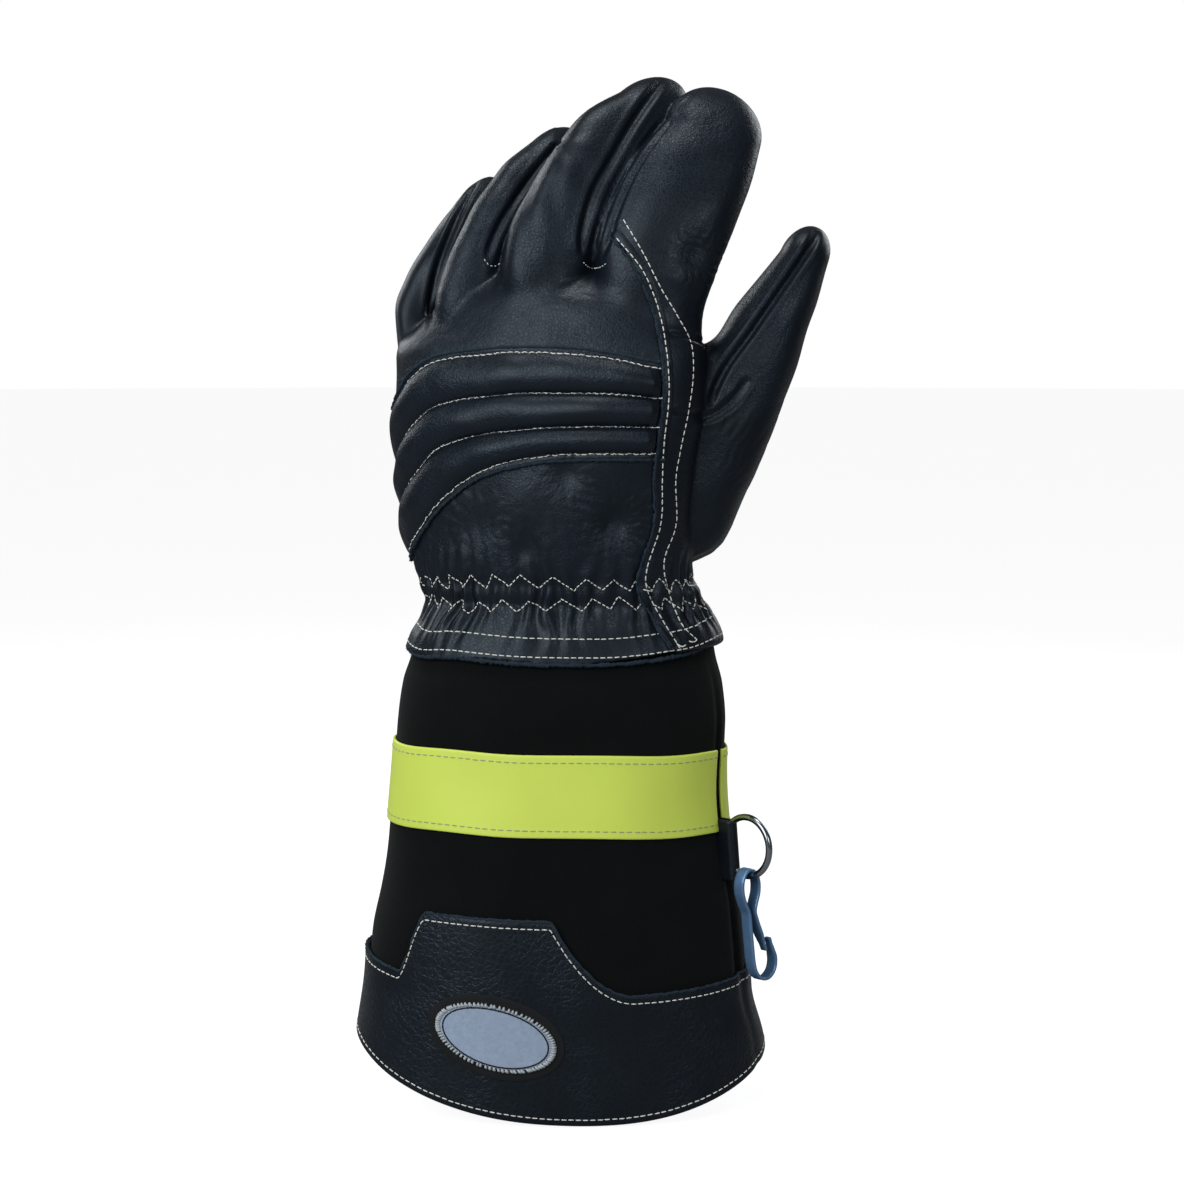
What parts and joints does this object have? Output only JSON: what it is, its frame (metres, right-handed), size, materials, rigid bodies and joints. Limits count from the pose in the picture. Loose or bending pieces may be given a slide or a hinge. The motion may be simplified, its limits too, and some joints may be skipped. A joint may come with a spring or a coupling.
{
  "type": "firefighter glove",
  "caption": "Long-cuffed left-hand leather firefighter glove with padded knuckle ribs, suede gauntlet, reflective band and a snap hook on a ring.",
  "frame": {"origin": "middle of the wrist, where the glove sits on a hand", "axes": "+Z along the hand to the fingertips, +X to the thumb, -Y out of the back of the hand"},
  "size_m": [0.1818, 0.1006, 0.3891],
  "materials": {
    "leather": "full grain, semi-gloss, blue-black",
    "suede": "napped black suede",
    "reflective_tape": "fluorescent yellow-green, satin",
    "woven_badge": "woven grey-blue with an overlocked edge",
    "ring_steel": "polished dark steel",
    "hook_steel": "blue-grey spring steel"
  },
  "bodies": {
    "root": {"little_finger": "leather", "ring_finger": "leather", "middle_finger": "leather", "index_finger": "leather", "thumb": "leather", "back_panel": "leather", "palm_panel": "leather", "knuckle_guard": "leather", "suede_cuff": "suede", "reflective_tape": "reflective_tape", "cuff_trim": "leather", "badge": "woven_badge", "hook_strap": "leather", "split_ring": "ring_steel", "snap_hook": "hook_steel"}
  },
  "joints": []
}
